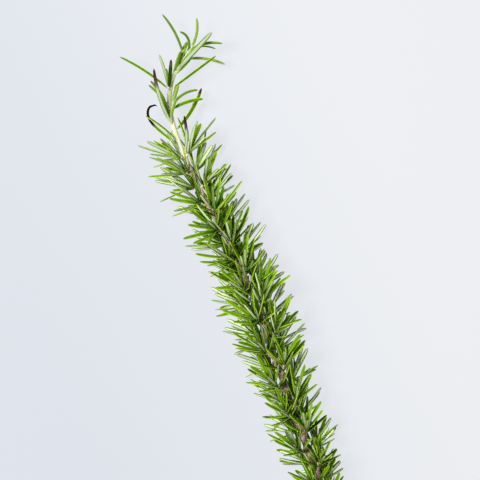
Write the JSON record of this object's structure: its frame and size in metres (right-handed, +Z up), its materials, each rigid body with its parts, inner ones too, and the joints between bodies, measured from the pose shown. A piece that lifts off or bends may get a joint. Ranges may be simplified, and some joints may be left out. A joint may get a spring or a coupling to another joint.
{
  "type": "rosemary sprig",
  "caption": "Cut sprig of rosemary lying on its side: a woody stem with pairs of leafy side shoots, needle leaves and a hooked, open growing tip.",
  "frame": {"origin": "on the surface that the sprig lies on, under the middle of its bounding box", "axes": "+Y from the cut end of the stem towards the growing tip, +Z up from the surface, +X to the sprig's right seen from above"},
  "size_m": [0.0608, 0.2888, 0.038],
  "materials": {
    "bark": "dull, finely ridged",
    "leaf": "satin, leathery, pale felt underneath",
    "young_leaf": "satin, soft",
    "dead_leaf": "dry and dull"
  },
  "bodies": {
    "root": {"stem": "bark", "tip_tuft": "young_leaf", "bud_front_upper": "young_leaf", "bud_left": "young_leaf", "bud_right": "young_leaf", "bud_front_lower": "young_leaf", "leaf_left_long": "leaf", "leaf_right_long": "leaf", "leaf_right_broad": "leaf", "leaf_front_pale": "leaf", "leaf_right_browned": "leaf", "leaf_left_arched": "leaf", "leaf_left_dead": "dead_leaf", "leaf_front_browned": "leaf", "shoot_01_upper": "leaf", "shoot_01_lower": "leaf", "shoot_02_upper": "leaf", "shoot_02_lower": "leaf", "shoot_03_upper": "leaf", "shoot_03_lower": "leaf", "shoot_04_upper": "leaf", "shoot_04_lower": "leaf", "shoot_05_upper": "leaf", "shoot_05_lower": "leaf", "shoot_06_upper": "leaf", "shoot_06_lower": "leaf", "shoot_07_upper": "leaf", "shoot_07_lower": "leaf", "shoot_08_upper": "leaf", "shoot_08_lower": "leaf", "shoot_09_upper": "leaf", "shoot_09_lower": "leaf", "shoot_10_upper": "leaf", "shoot_10_lower": "leaf", "shoot_11_upper": "leaf", "shoot_11_lower": "leaf", "shoot_12_upper": "leaf", "shoot_12_lower": "leaf", "shoot_13_upper": "leaf", "shoot_13_lower": "leaf", "shoot_14_upper": "leaf", "shoot_14_lower": "leaf", "shoot_15_upper": "leaf", "shoot_15_lower": "leaf", "shoot_16_upper": "leaf", "shoot_16_lower": "leaf", "shoot_17_upper": "leaf", "shoot_17_lower": "leaf", "shoot_18_upper": "leaf", "shoot_18_lower": "leaf", "shoot_19_upper": "leaf", "shoot_19_lower": "leaf", "shoot_20_upper": "leaf", "shoot_20_lower": "leaf", "shoot_21_upper": "leaf", "shoot_21_lower": "leaf", "shoot_22_upper": "leaf", "shoot_22_lower": "leaf", "shoot_23_upper": "leaf", "shoot_23_lower": "leaf"}
  },
  "joints": []
}
